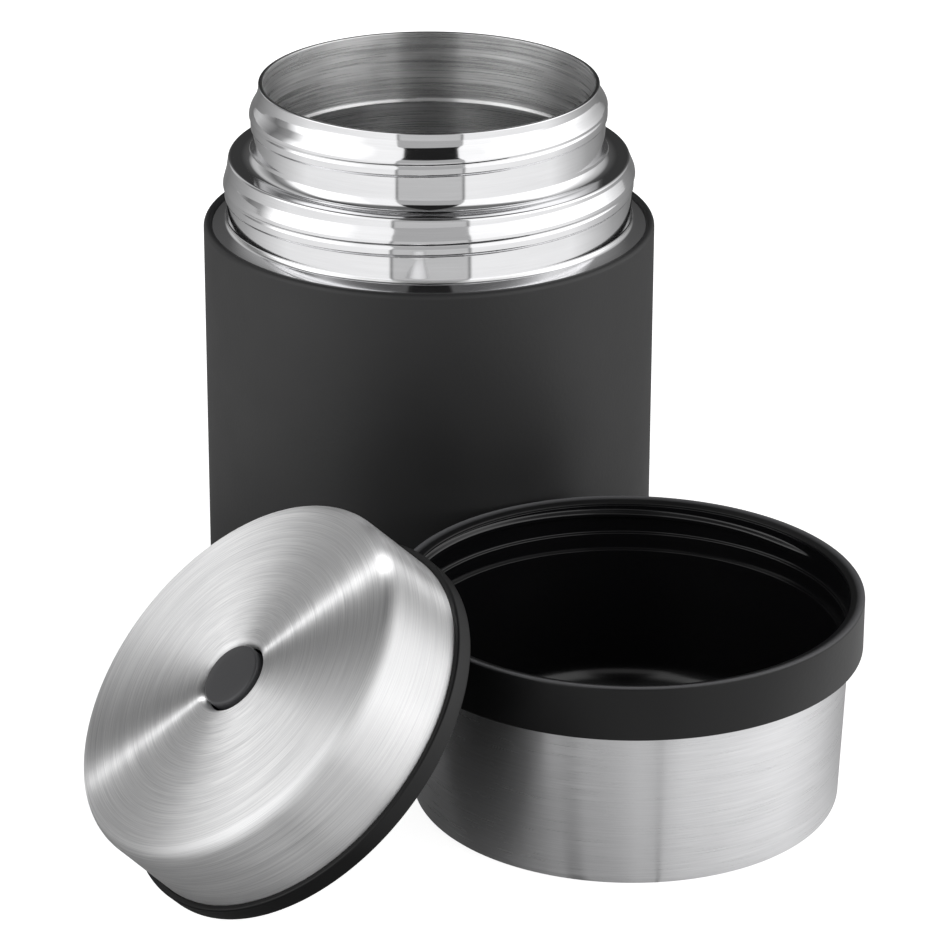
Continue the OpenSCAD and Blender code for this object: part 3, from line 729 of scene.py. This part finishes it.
class FOODJAR_OT_shell(Operator):
    """Turn the steel shell with its stepped neck and roll both threads into it"""

    bl_idname = "foodjar.shell"
    bl_label = "Steel Shell"

    def execute(self, context):
        s, t = context.scene.jar_sizes, context.scene.jar_threads
        side = s.body_radius - s.coat
        lip = s.height - s.lip_height
        edge = s.body_radius - 0.0016
        slope, fall = math.tan(math.radians(30)), math.tan(s.shelf_fall)
        bm = section(
            [
                (side - 0.0035, 0.0),
                (side, 0.0, 0.0025),
                (side, s.coat_top - 0.0016 * slope - 0.00018, 0.00295),
                (edge - 0.000125, s.coat_top - 0.00022),
                (edge, s.coat_top),
                (s.collar_radius, s.coat_top + (edge - s.collar_radius) * fall, s.shelf_round),
                (s.collar_radius, s.ledge_height - 0.0034, 0.004),
                (s.ledge_radius, s.ledge_height, 0.0006),
                (s.neck_radius, s.ledge_height, 0.0025),
                (s.neck_radius, lip - s.flare_height, 0.003),
                (s.rim_radius, lip, 0.006),
                (s.rim_radius, s.height, 0.00024),
                (s.rim_radius - 0.0004, s.height),
            ],
            closed=False,
        )
        row = 0.00016
        upper = (s.ledge_height + 0.0016, s.height - 0.0003)
        lower = (t.lower_line - 0.0062, s.ledge_height - 0.0005)
        refine(bm, *upper, row, lambda c: c.x > s.rim_radius - 0.0001)
        refine(bm, *lower, row, lambda c: c.x > s.ledge_radius - 0.0003)
        upper_wall, lower_wall = outline(bm, *upper), outline(bm, *lower)
        turn(bm)
        roll_thread(bm, t.upper_line, upper, upper_wall)
        roll_thread(bm, t.lower_line, lower, lower_wall)
        bmesh.ops.solidify(bm, geom=bm.faces[:], thickness=s.sheet)
        finish_piece(
            bm, "steel_shell", "jar", MATERIALS["neck"], ["outer_shell"]
        )
        return {"FINISHED"}


class FOODJAR_OT_coat(Operator):
    """Turn the soft black coat"""

    bl_idname = "foodjar.coat"
    bl_label = "Soft Coat"

    def execute(self, context):
        s = context.scene.jar_sizes
        slope = math.tan(math.radians(30))
        edge = s.body_radius - 0.0018
        shoulder = s.coat_top - 0.0016 * slope
        inside = s.body_radius - s.coat
        bm = section(
            [
                (s.body_radius, 0.0022, 0.0002),
                (s.body_radius, s.coat_top + 0.00062, 0.0011),
                (edge + 0.0003, s.coat_top + 0.0005, 0.0003),
                (edge, s.coat_top - 0.0001),
                (edge, s.coat_top - 0.0004),
                (inside, shoulder - 0.00018, 0.00295),
                (inside, 0.0022),
            ]
        )
        finish_piece(
            turn(bm), "soft_coat", "jar", MATERIALS["coat"], ["body_coat"]
        )
        return {"FINISHED"}


class FOODJAR_OT_vessel(Operator):
    """Turn the brushed inner vessel"""

    bl_idname = "foodjar.vessel"
    bl_label = "Inner Vessel"

    def execute(self, context):
        s = context.scene.jar_sizes
        neck_foot = s.height - 0.0154
        bend = neck_foot - 0.0164
        bm = section(
            [
                (s.rim_radius - s.sheet, s.height),
                (s.inner_radius, s.height, 0.0002),
                (s.inner_radius, neck_foot + 0.0007, 0.0006),
                (s.inner_radius - 0.0003, neck_foot, 0.0003),
                (s.inner_radius, neck_foot - 0.0008, 0.0006),
                (s.vessel_radius, bend, 0.006),
                (s.vessel_radius, s.floor_height, 0.009),
                (0.0, s.floor_height),
            ],
            closed=False,
        )
        turn(bm)
        wall = max(bm.faces, key=lambda face: face.calc_center_median().xy.length)
        if wall.normal.xy.dot(wall.calc_center_median().xy) > 0:
            bmesh.ops.reverse_faces(bm, faces=bm.faces[:])
        bmesh.ops.solidify(bm, geom=bm.faces[:], thickness=0.0004)
        finish_piece(
            bm, "brushed_vessel", "jar", MATERIALS["vessel"], ["inner_vessel"]
        )
        return {"FINISHED"}


class FOODJAR_OT_cup(Operator):
    """Turn the serving cup's steel shell, glossy liner and black collar"""

    bl_idname = "foodjar.cup"
    bl_label = "Serving Cup"

    def execute(self, context):
        s = context.scene.cup_sizes
        wall = 0.0004
        steel_top = s.height - 0.0084
        lean = (s.steel_top_radius - s.steel_foot_radius) / s.collar_foot
        steel_end = s.steel_foot_radius + steel_top * lean
        bm = section(
            [
                (0.0, 0.0),
                (s.steel_foot_radius, 0.0, s.corner),
                (steel_end, steel_top),
                (steel_end - wall, steel_top),
                (s.steel_foot_radius - wall, wall, s.corner - wall),
                (0.0, wall),
            ],
            closed=False,
        )
        finish_piece(
            turn(bm), "cup_steel", "cup", MATERIALS["cup"], ["cup_shell"], at_cup()
        )

        first, second = s.height - 0.0072, s.height - 0.0106
        step = s.mouth_radius - 0.0007
        bowl = step - 0.00091
        floor = 0.0033
        foot = bowl - (second - floor) * lean
        lip_foot = s.height - 0.00127
        liner = 0.0009
        bm = section(
            [
                (0.0, floor),
                (foot, floor, 0.006),
                (bowl, second, 0.0001),
                (step, second, 0.00018),
                (step, first, 0.00018),
                (s.mouth_radius, first, 0.0002),
                (s.mouth_radius, lip_foot, 0.00012),
                (s.mouth_radius + liner, lip_foot),
                (s.mouth_radius + liner, steel_top + 0.00002),
                (bowl + liner, steel_top + 0.00002),
                (foot + liner, floor - liner, 0.0069),
                (0.0, floor - liner),
            ],
            closed=False,
        )
        zone = (first + 0.0003, lip_foot - 0.0002)
        refine(bm, *zone, 0.00015, lambda c: abs(c.x - s.mouth_radius) < 1e-5)
        turn(bm)
        mould_thread(
            bm, s.mouth_radius, zone, line=s.height - 0.00573, start=25, end=180, proud=0.0008,
            half_height=0.00105,
        )
        finish_piece(
            bm, "cup_liner_gloss", "cup", MATERIALS["liner"], ["cup_liner"], at_cup()
        )

        lip = s.height - 0.00123
        bm = section(
            [
                (s.steel_top_radius + 0.00002, s.collar_foot, 0.0001),
                (s.collar_radius, s.collar_foot, 0.00035),
                (s.collar_radius, s.height, 0.0006),
                (s.mouth_radius, s.height - 0.0008, 0.0003),
                (s.mouth_radius, lip),
                (s.mouth_radius + liner + 0.00002, lip),
                (s.mouth_radius + liner + 0.00002, steel_top + 0.00002),
                (steel_end + 0.00002, steel_top + 0.00002),
            ]
        )
        finish_piece(
            turn(bm),
            "cup_collar_satin",
            "cup",
            MATERIALS["collar"],
            ["cup_collar"],
            at_cup(),
        )
        return {"FINISHED"}


class FOODJAR_OT_lid(Operator):
    """Turn the lid's spun cap, its moulded body and its plug"""

    bl_idname = "foodjar.lid"
    bl_label = "Screw Lid"

    def execute(self, context):
        s = context.scene.lid_sizes
        wall = 0.0004
        foot = s.ring_height - 0.0003
        hole = s.hole_radius
        turned_in = s.height - s.hole_round - 0.0004
        bm = section(
            [
                (s.foot_radius, foot),
                (s.top_radius, s.height, s.edge_round),
                (hole, s.height, s.hole_round),
                (hole, turned_in),
                (hole + wall, turned_in),
                (hole + wall, s.height - wall, s.hole_round - wall),
                (s.top_radius - wall, s.height - wall, s.edge_round - wall),
                (s.foot_radius - wall, foot),
            ]
        )
        cap = lid_piece(turn(bm, 288), "spun_cap", "spun", "lid_cap")
        bpy.data.collections["lit_by_strip"].objects.link(cap)

        deck, deck_top = 0.0162, 0.0176
        root, crest = 0.03755, 0.03675
        skirt = 0.0384
        plug, plug_in, plug_foot = 0.03298, 0.03178, -0.00098
        bm = section(
            [
                (root + 0.0004, 0.0),
                (s.ring_radius, 0.0, 0.00045),
                (s.ring_radius, s.ring_height, 0.00045),
                (s.foot_radius + 0.00012, s.ring_height, 0.0001),
                (s.foot_radius + 0.00012, s.ring_height - 0.0006),
                (skirt, s.ring_height - 0.0006),
                (skirt - 0.0005, deck_top),
                (s.hole_radius + 0.00122, deck_top),
                (s.hole_radius + 0.00122, deck),
                (plug_in, deck),
                (plug_in, plug_foot),
                (plug, plug_foot, 0.0003),
                (plug, deck, 0.0006),
                (crest, deck, 0.0006),
                (crest, deck - 0.0038),
                (root, deck - 0.0044),
                (root, 0.0004),
            ]
        )
        zone = (0.0006, deck - 0.0046)
        refine(bm, *zone, 0.00018, lambda c: abs(c.x - root) < 1e-5)
        turn(bm)
        mould_thread(
            bm, root, zone, line=0.00534, start=-230, end=50, proud=0.0008, half_height=0.00105
        )
        lid_piece(bm, "lid_moulding", "plastic", "lid_body")

        low, floor = -0.0059, -0.0045
        side, inside = 0.03106, 0.03034
        flange, flange_foot, flange_top = 0.03262, -0.0038, -0.0032
        lip, lip_foot, lip_top = 0.03154, -0.001, -0.00082
        recess, recess_roof, recess_top = 0.00652, -0.00392, -0.00252
        boss, stem_way, boss_top = 0.00343, 0.00235, s.height - 0.01024
        bm = section(
            [
                (recess, low, 0.0003),
                (0.03098, low, 0.0009),
                (side, flange_foot, 0.0003),
                (flange, flange_foot, 0.0001),
                (flange, flange_top, 0.0001),
                (side, flange_top),
                (side, lip_foot),
                (lip, lip_foot),
                (lip, lip_top),
                (inside, lip_top),
                (inside, floor),
                (0.00792, floor),
                (recess, recess_top),
                (boss, recess_top),
                (boss, boss_top),
                (stem_way, boss_top),
                (stem_way, recess_roof),
                (recess, recess_roof, 0.0001),
            ]
        )
        lid_piece(turn(bm), "plug_cup", "plastic", "plug_cover")

        groove, ring, wiper = 0.03108, 0.03298, 0.03428
        ring_foot, ring_top = -0.00316, -0.001
        bm = section(
            [
                (groove, ring_foot),
                (ring, ring_foot, 0.0003),
                (wiper, -0.00222, 0.0001),
                (wiper, -0.00194, 0.0001),
                (ring, -0.0023),
                (ring, ring_top, 0.0003),
                (groove, ring_top),
            ]
        )
        lid_piece(turn(bm), "plug_gasket", "silicone", "lid_gasket")
        return {"FINISHED"}


class FOODJAR_OT_valve(Operator):
    """Turn the valve's button, guide and seal, and wind its spring"""

    bl_idname = "foodjar.valve"
    bl_label = "Pressure Valve"

    def execute(self, context):
        s = context.scene.lid_sizes
        edge = s.height - s.button_sunk
        foot = edge - 0.0049
        roof = edge - 0.0022
        skirt = s.button_radius - 0.00096
        stem, boss = 0.00177, 0.00247
        bm = section(
            [
                (0.0, roof),
                (stem, roof),
                (stem, foot),
                (boss, foot),
                (boss, roof, 0.0003),
                (skirt, roof, 0.0003),
                (skirt, foot),
                (s.button_radius, foot),
                (s.button_radius, edge, 0.0006),
                (s.button_radius - 0.0022, edge + s.button_crown * 0.62, 0.012),
                (0.0, edge + s.button_crown),
            ],
            closed=False,
        )
        lid_piece(
            turn(bm), "press_button", "button", "valve_button", "button"
        )

        rim = s.height - s.hole_round - 0.0004
        bore, base = s.hole_radius, s.height - 0.01022
        floor, stem_way = base + 0.0012, 0.00182
        deck, flange_top = 0.01762, 0.0182
        bm = section(
            [
                (bore, rim),
                (bore, floor, 0.0004),
                (stem_way, floor),
                (stem_way, base),
                (bore + 0.0012, base, 0.0004),
                (bore + 0.0012, deck),
                (bore + 0.00312, deck),
                (bore + 0.00312, flange_top, 0.0002),
                (bore + 0.00072, flange_top),
                (bore + 0.00072, rim),
            ]
        )
        lid_piece(turn(bm, 128), "button_guide", "plastic", "valve_guide")

        top, disc = -0.00394, 0.0054
        bm = section(
            [
                (stem, top - 0.0012),
                (disc, top - 0.0012, 0.0003),
                (disc, top, 0.0003),
                (stem, top),
            ]
        )
        lid_piece(turn(bm, 128), "stem_seal", "silicone", "valve_seal", "button")

        wire, coil, curls, steps = 0.0003, 0.0039, 6, 28
        low, high = floor + wire, roof - wire
        bm = bmesh.new()
        start = Matrix.Translation((coil, 0.0, low)) @ Matrix.Rotation(math.pi / 2, 4, "X")
        bmesh.ops.create_circle(bm, radius=wire, segments=10, matrix=start)
        bmesh.ops.spin(
            bm,
            geom=bm.verts[:] + bm.edges[:],
            axis=(0.0, 0.0, 1.0),
            angle=2 * math.pi * curls,
            steps=curls * steps,
            dvec=(0.0, 0.0, (high - low) / (curls * steps)),
        )
        bmesh.ops.holes_fill(bm, edges=[e for e in bm.edges if e.is_boundary])
        bmesh.ops.recalc_face_normals(bm, faces=bm.faces[:])
        ends = [at_lid() @ Vector((0.0, 0.0, z)) for z in (low, high)]
        between_two = ("lid", "button", *ends)
        lid_piece(bm, "coil_spring", "plain", "valve_spring", between_two)
        return {"FINISHED"}


def pale_floor():
    """The pale floor: white to the camera, and graded by bearing in what the steel reflects.

    One pattern of light is laid round the jar's axis and another round a point under the cup,
    a little in front of its middle. The two blend at a distance from the cup. The floor glows
    with this light for all but camera rays. Near the jar and the lid the glow is dimmed, a painted
    contact shadow.
    """
    cup_spot, lid_shadow_centre = (0.0387, -0.0856, 0.0), (-0.049, -0.132, 0.0)
    fan_right, fan_ahead = 0.0387, 0.1112
    white = (1.0, 1.0, 1.0, 1.0)
    f = Finish("pale_floor")
    own = f.node("ShaderNodeTexCoord").outputs["Object"]
    axes = f.node("ShaderNodeSeparateXYZ", {"Vector": own}).outputs
    ahead = f.maths("MULTIPLY", axes[1], -1.0)
    round_jar = f.curve(
        f.bearing(axes[0], ahead),
        -180,
        180,
        [
            (-150, 0.06), (-120, 0.3), (-100, 0.6), (-82, 0.9), (-20.9, 1.0), (-20.5, 0.08),
            (-19.5, 0.08), (-19.1, 0.52), (20.6, 0.52), (21.0, 0.08), (22.0, 0.08), (22.4, 1.0),
            (82, 0.95), (100, 0.6), (120, 0.3), (150, 0.06),
        ],
    )
    across = f.maths("SUBTRACT", axes[0], fan_right)
    round_cup = f.curve(
        f.bearing(across, f.maths("SUBTRACT", ahead, fan_ahead)),
        -180,
        180,
        [
            (-150, 0.1), (-110, 0.2), (-80, 0.24), (-56, 0.34), (-41, 0.42), (-37, 0.16),
            (-32, 0.16), (-27, 0.48), (-8, 0.56), (4, 0.68), (14.2, 0.6), (15.4, 0.34),
            (16.6, 0.34), (17.6, 0.72), (44, 0.8), (64, 0.92), (84, 1.1), (104, 0.95),
            (124, 0.7), (150, 0.5),
        ],
    )
    far = f.ramp(f.distance(own, cup_spot), 0.165, 0.19, 0.0, 1.0)
    graded = f.maths(
        "ADD", f.product(round_jar, far), f.product(round_cup, f.maths("SUBTRACT", 1.0, far))
    )
    by_jar = f.node("ShaderNodeVectorMath", {0: own}, operation="LENGTH").outputs["Value"]
    # Painted contact shadow: for rays other than the camera's, the floor's glow is dimmed near the
    # jar's axis and round the lid's contact point.
    near = f.product(
        f.ramp(by_jar, 0.09, 0.19, 0.5, 1.0, "SMOOTHSTEP"),
        f.ramp(f.distance(own, lid_shadow_centre), 0.03, 0.1, 0.1, 1.0, "SMOOTHSTEP"),
    )
    seen = f.node("ShaderNodeLightPath").outputs["Is Camera Ray"]
    f.set(
        Base_Color=f.tint(seen, (0.22, 0.22, 0.22), (0.6, 0.6, 0.6)),
        Roughness=1.0,
        Specular_IOR_Level=0.0,
        Emission_Color=white,
        Emission_Strength=f.maths(
            "ADD",
            f.maths("MULTIPLY", seen, 0.9),
            f.product(f.maths("SUBTRACT", 1.0, seen), graded, near),
        ),
    )
    return f.material


def soft_tent(world, level):
    """Light from white panels at the sides and behind, with a dimmer slot in front.

    The camera itself sees plain white.
    """
    fill = 0.018
    n = Nodes(world.node_tree)
    axes = n.node(
        "ShaderNodeSeparateXYZ",
        {"Vector": n.node("ShaderNodeTexCoord").outputs["Generated"]},
    ).outputs
    front = n.maths("MULTIPLY", axes[1], -1.0)
    bearing = n.bearing(axes[0], front)
    round_jar = n.curve(
        bearing,
        -180,
        180,
        [
            (-179, 0.01), (-156, 0.05), (-148, 0.3), (-140, 0.36), (-128, 0.22), (-118, 0.1),
            (-106, 0.22), (-92, 1.0), (-60, 1.0), (-40, 0.68), (-21, 0.68), (-20.2, 0.0),
            (21.3, 0.0), (22.1, 0.75), (40, 0.75), (60, 1.0), (104, 1.0), (120, 0.6),
            (134, 0.36), (146, 0.24), (156, 0.05), (179, 0.01),
        ],
    )
    panels = n.product(round_jar, n.ramp(axes[2], 0.72, 0.9, 1.0, 0.1, "SMOOTHSTEP"), level)
    table = n.product(
        n.ramp(front, 0.3, 0.6, 0.0, 0.5), n.ramp(axes[2], 0.6, 0.66, 1.0, 0.0, "SMOOTHSTEP")
    )
    back = n.product(
        n.ramp(n.maths("ABSOLUTE", bearing), 148, 156, 0.0, 0.6, "SMOOTHSTEP"),
        n.ramp(axes[2], 0.6, 0.74, 0.0, 1.0, "SMOOTHSTEP"),
        n.ramp(axes[2], 0.86, 0.93, 1.0, 0.0, "SMOOTHSTEP"),
        n.ramp(n.maths("ABSOLUTE", axes[0]), 0.05, 0.15, 0.0, 1.0, "SMOOTHSTEP"),
    )
    light = n.maths("MAXIMUM", n.maths("MAXIMUM", panels, table), back)
    light = n.maths("ADD", light, fill)
    light = n.maths("MAXIMUM", light, n.node("ShaderNodeLightPath").outputs["Is Camera Ray"])
    n.tree.links.new(light, n.tree.nodes["Background"].inputs["Strength"])
    n.tree.nodes["Background"].inputs["Color"].default_value = (1.0, 1.0, 1.0, 1.0)


def area_light(name, place, target, width, height, power, along):
    """An area light that faces its target, with its width laid along a direction."""
    data = bpy.data.lights.new(name, "AREA")
    data.shape = "RECTANGLE"
    data.size, data.size_y = width, height
    data.energy = power
    lamp = bpy.data.objects.new(name, data)
    back = (Vector(place) - Vector(target)).normalized()
    wide = (Vector(along) - back * back.dot(Vector(along))).normalized()
    facing = Matrix((wide, back.cross(wide), back)).transposed().to_4x4()
    lamp.matrix_world = Matrix.Translation(place) @ facing
    bpy.context.scene.collection.objects.link(lamp)
    return lamp


class FOODJAR_OT_studio(Operator):
    """Lay the pale floor, set the light and place the camera"""

    bl_idname = "foodjar.studio"
    bl_label = "Studio"

    def execute(self, context):
        s = context.scene.jar_studio
        bm = bmesh.new()
        bmesh.ops.create_circle(bm, cap_ends=True, radius=4.0, segments=96)
        mesh = bpy.data.meshes.new("studio_floor")
        bm.to_mesh(mesh)
        bm.free()
        floor = bpy.data.objects.new("studio_floor", mesh)
        mesh.materials.append(pale_floor())
        context.scene.collection.objects.link(floor)

        lid_face = Vector((-0.038, -0.126, 0.043))
        to_light = Vector((-0.142, 0.494, 0.858))
        strip = area_light(
            "strip_light", lid_face + to_light, lid_face, width=0.28, height=0.01,
            power=s.strip_light, along=(0.98, 0.16, 0.08),
        )
        strip.light_linking.receiver_collection = bpy.data.collections.new("lit_by_strip")

        world = bpy.data.worlds.new("studio_world")
        world.use_nodes = True
        soft_tent(world, s.tent_light)
        context.scene.world = world

        pitch, yaw, roll = s.camera_pitch, s.camera_yaw, s.camera_roll
        ahead = Vector(
            (math.sin(yaw) * math.cos(pitch), math.cos(yaw) * math.cos(pitch), -math.sin(pitch))
        )
        right = Vector((math.cos(yaw), -math.sin(yaw), 0.0))
        up = right.cross(ahead)
        across = math.cos(roll) * right + math.sin(roll) * up
        upward = math.cos(roll) * up - math.sin(roll) * right
        data = bpy.data.cameras.new("studio_camera")
        data.lens, data.sensor_width = s.lens, 36.0
        data.clip_start, data.clip_end = 0.05, 20.0
        camera = bpy.data.objects.new("studio_camera", data)
        turned = Matrix((across, upward, -ahead)).transposed().to_4x4()
        camera.matrix_world = Matrix.Translation(s.camera_place) @ turned
        context.scene.collection.objects.link(camera)
        context.scene.camera = camera
        context.scene.view_settings.view_transform = "Standard"
        context.scene.view_settings.look = "None"
        context.scene.cycles.glossy_bounces = 9
        return {"FINISHED"}


class FOODJAR_PT_panel(Panel):
    """Lists the sizes, the finishes and the steps that dress the jar"""

    bl_label = "Food Jar"
    bl_idname = "FOODJAR_PT_panel"
    bl_space_type = "VIEW_3D"
    bl_region_type = "UI"
    bl_category = "Food Jar"

    def draw(self, context):
        layout = self.layout
        for step in STEPS:
            layout.operator(step.bl_idname)
        for title, name, group in GROUPS:
            box = layout.box()
            box.label(text=title)
            for key in group.__annotations__:
                box.prop(getattr(context.scene, name), key)


STEPS = (
    FOODJAR_OT_studio,
    FOODJAR_OT_finishes,
    FOODJAR_OT_shell,
    FOODJAR_OT_coat,
    FOODJAR_OT_vessel,
    FOODJAR_OT_cup,
    FOODJAR_OT_lid,
    FOODJAR_OT_valve,
)

GROUPS = (
    ("Jar", "jar_sizes", JarSizes),
    ("Threads", "jar_threads", ThreadSizes),
    ("Lid", "lid_sizes", LidSizes),
    ("Cup", "cup_sizes", CupSizes),
    ("Places", "jar_places", Places),
    ("Finishes", "jar_finishes", Finishes),
    ("Studio", "jar_studio", Studio),
)


def register():
    for _, name, group in GROUPS:
        bpy.utils.register_class(group)
        setattr(bpy.types.Scene, name, PointerProperty(type=group))
    for step in STEPS:
        bpy.utils.register_class(step)
    bpy.utils.register_class(FOODJAR_PT_panel)


def unregister():
    bpy.utils.unregister_class(FOODJAR_PT_panel)
    for step in reversed(STEPS):
        bpy.utils.unregister_class(step)
    for _, name, group in reversed(GROUPS):
        delattr(bpy.types.Scene, name)
        bpy.utils.unregister_class(group)


def main():
    register()
    for step in STEPS:
        area, name = step.bl_idname.split(".")
        getattr(getattr(bpy.ops, area), name)()


if __name__ == "__main__":
    main()
